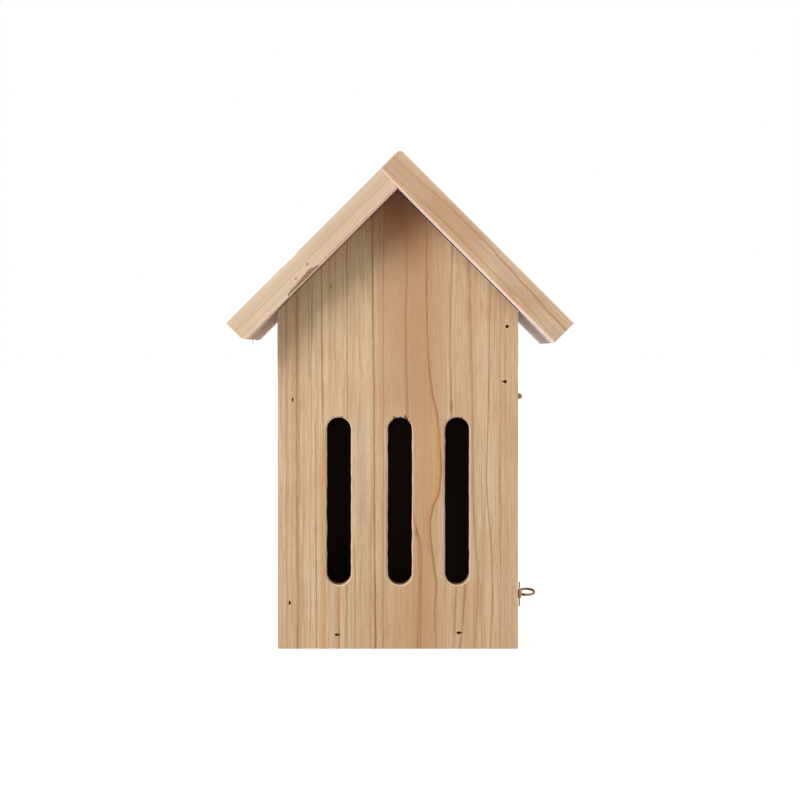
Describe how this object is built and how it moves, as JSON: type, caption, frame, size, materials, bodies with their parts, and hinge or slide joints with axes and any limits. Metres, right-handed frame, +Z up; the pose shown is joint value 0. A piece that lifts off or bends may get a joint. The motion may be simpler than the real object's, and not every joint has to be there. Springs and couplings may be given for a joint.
{
  "type": "butterfly house",
  "caption": "Gabled softwood butterfly house with tall front slots, a top-hinged side door, a turn button, a pull ring and a keyhole plate for hanging.",
  "frame": {"origin": "on the resting plane, under the ridge, at the middle of the roof's depth", "axes": "+Z up, -Y out of the front panel with the slots, +X towards the side with the door"},
  "size_m": [0.1706, 0.12, 0.2477],
  "materials": {
    "front_board": "bare planed softwood",
    "back_board": "bare planed softwood",
    "side_board": "bare planed softwood",
    "floor_board": "bare sawn softwood",
    "left_roof_board": "bare planed softwood",
    "right_roof_board": "bare planed softwood",
    "door_board": "bare planed softwood",
    "hinge_brass": "dull brass plate",
    "screw_brass": "satin brass plate",
    "thin_plate": "dull brass sheet",
    "bright_brass": "polished brass plate",
    "zinc_steel": "zinc plated sheet",
    "nail_steel": "dull bare steel"
  },
  "bodies": {
    "house": {"front_panel": "front_board", "back_panel": "back_board", "left_side_panel": "side_board", "right_upper_board": "side_board", "floor_board": "floor_board", "left_roof_board": "left_roof_board", "right_roof_board": "right_roof_board", "front_hinge_fixed_leaf": "hinge_brass", "front_hinge_pin": "hinge_brass", "rear_hinge_fixed_leaf": "hinge_brass", "rear_hinge_pin": "hinge_brass", "hinge_fixed_screws": "screw_brass", "turn_button_screw": "bright_brass", "hanger_plate": "zinc_steel", "hanger_screws": "zinc_steel", "front_panel_nails": "nail_steel", "back_panel_nails": "nail_steel", "left_roof_nails": "nail_steel", "right_roof_nails": "nail_steel", "ridge_nails": "nail_steel"},
    "door": {"side_door": "door_board", "front_hinge_door_leaf": "hinge_brass", "rear_hinge_door_leaf": "hinge_brass", "hinge_door_screws": "screw_brass", "door_pull_ring": "bright_brass"},
    "turn_button": {"turn_button": "thin_plate"}
  },
  "joints": [
    {"name": "door_hinge", "type": "hinge", "parent": "house", "child": "door", "pos_m": [0.06044, 0.009, 0.1259], "axis": [0, -1, 0], "range_deg": [0, 145]},
    {"name": "turn_button_pivot", "type": "hinge", "parent": "house", "child": "turn_button", "pos_m": [0.05894, -0.0325, 0.0266], "axis": [1, 0, 0], "continuous": true}
  ]
}
